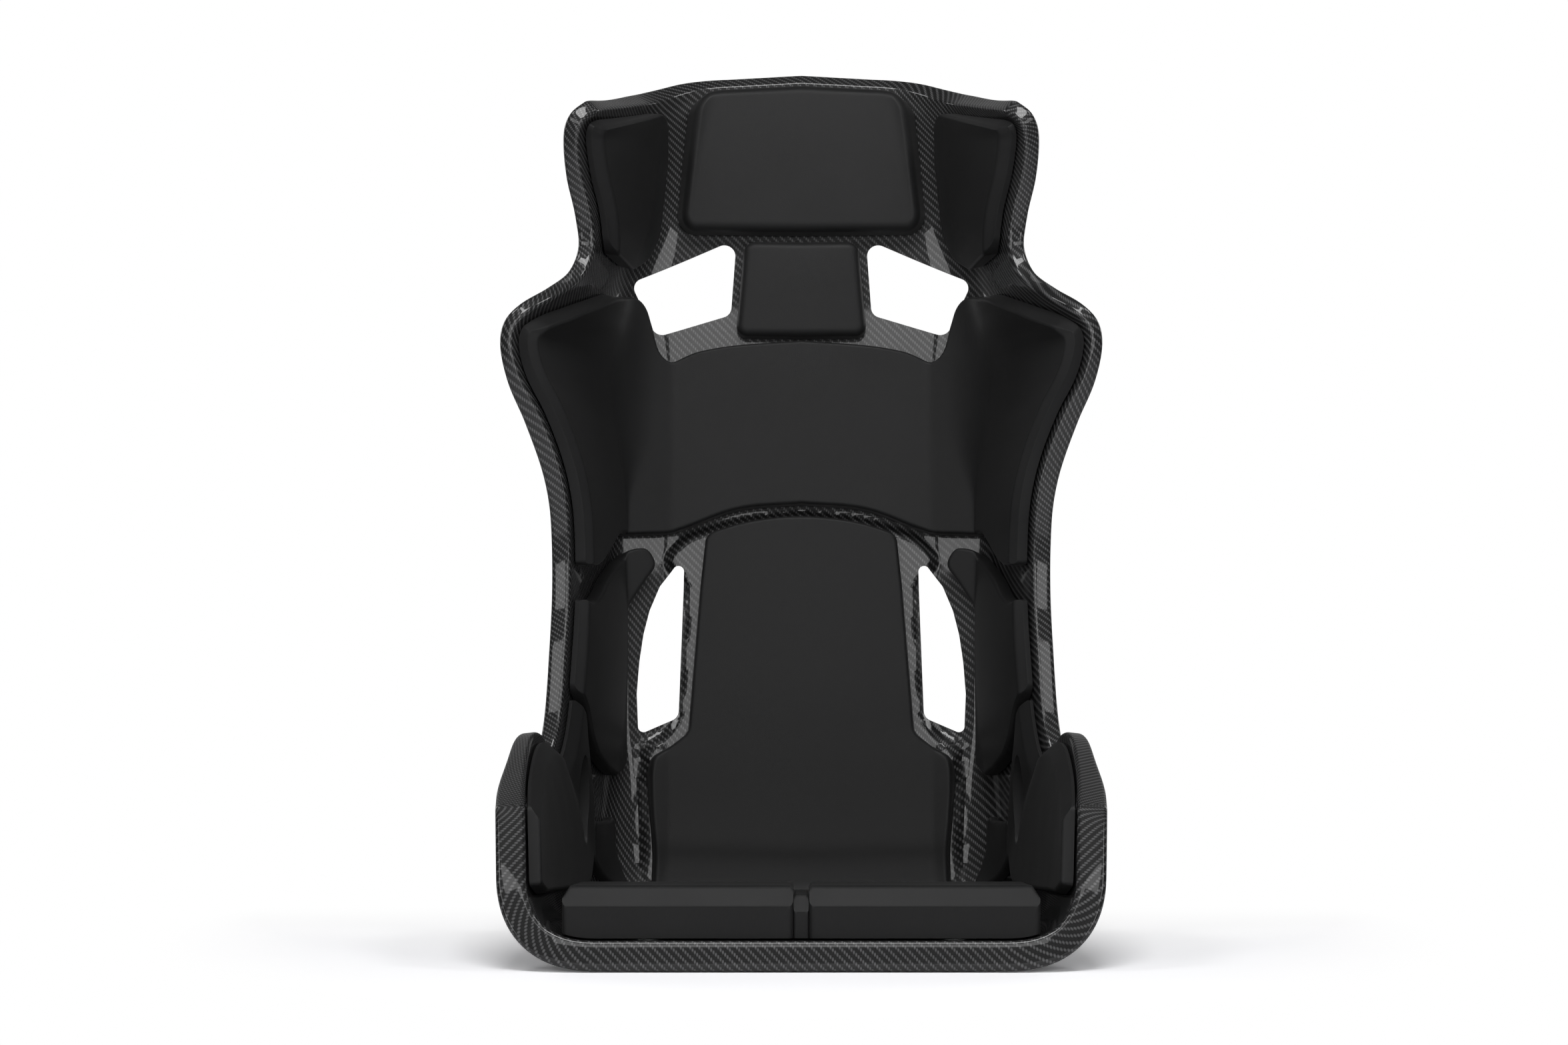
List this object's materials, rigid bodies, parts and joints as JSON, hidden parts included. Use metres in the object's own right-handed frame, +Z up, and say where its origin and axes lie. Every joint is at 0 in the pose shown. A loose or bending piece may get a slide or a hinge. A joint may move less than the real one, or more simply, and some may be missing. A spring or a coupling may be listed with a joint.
{
  "type": "racing seat",
  "caption": "High-backed bucket racing seat: a moulded shell with a rolled rim, harness slots and vents, separate foam pads and threaded inserts in its base.",
  "frame": {"origin": "on the floor under the seat, in the middle of its width and depth", "axes": "+Z up, -Y the way the driver faces, +X the driver's left. The node names' left and right are as seen from the front, so left is the -X side."},
  "size_m": [0.6094, 0.6442, 0.9039],
  "materials": {
    "laminate": "gloss",
    "foam": "matte",
    "alloy": "satin",
    "hook_and_loop": "matte"
  },
  "bodies": {
    "root": {"shell": "laminate", "head_pad": "foam", "head_side_pad_left": "foam", "head_side_pad_right": "foam", "neck_pad": "foam", "shoulder_pad": "foam", "lower_back_pad": "foam", "rib_pad_left": "foam", "rib_pad_right": "foam", "hip_pad_left": "foam", "hip_pad_right": "foam", "rear_hip_pad_left": "foam", "rear_hip_pad_right": "foam", "thigh_pad_left": "foam", "thigh_pad_right": "foam", "channel_pad": "foam", "seat_pad": "foam", "mount_inserts_front": "alloy", "mount_inserts_rear": "alloy", "load_plates_front": "alloy", "load_plates_rear": "alloy", "patches_head": "hook_and_loop", "patches_back": "hook_and_loop", "patches_sides": "hook_and_loop", "patches_seat": "hook_and_loop"}
  },
  "joints": []
}
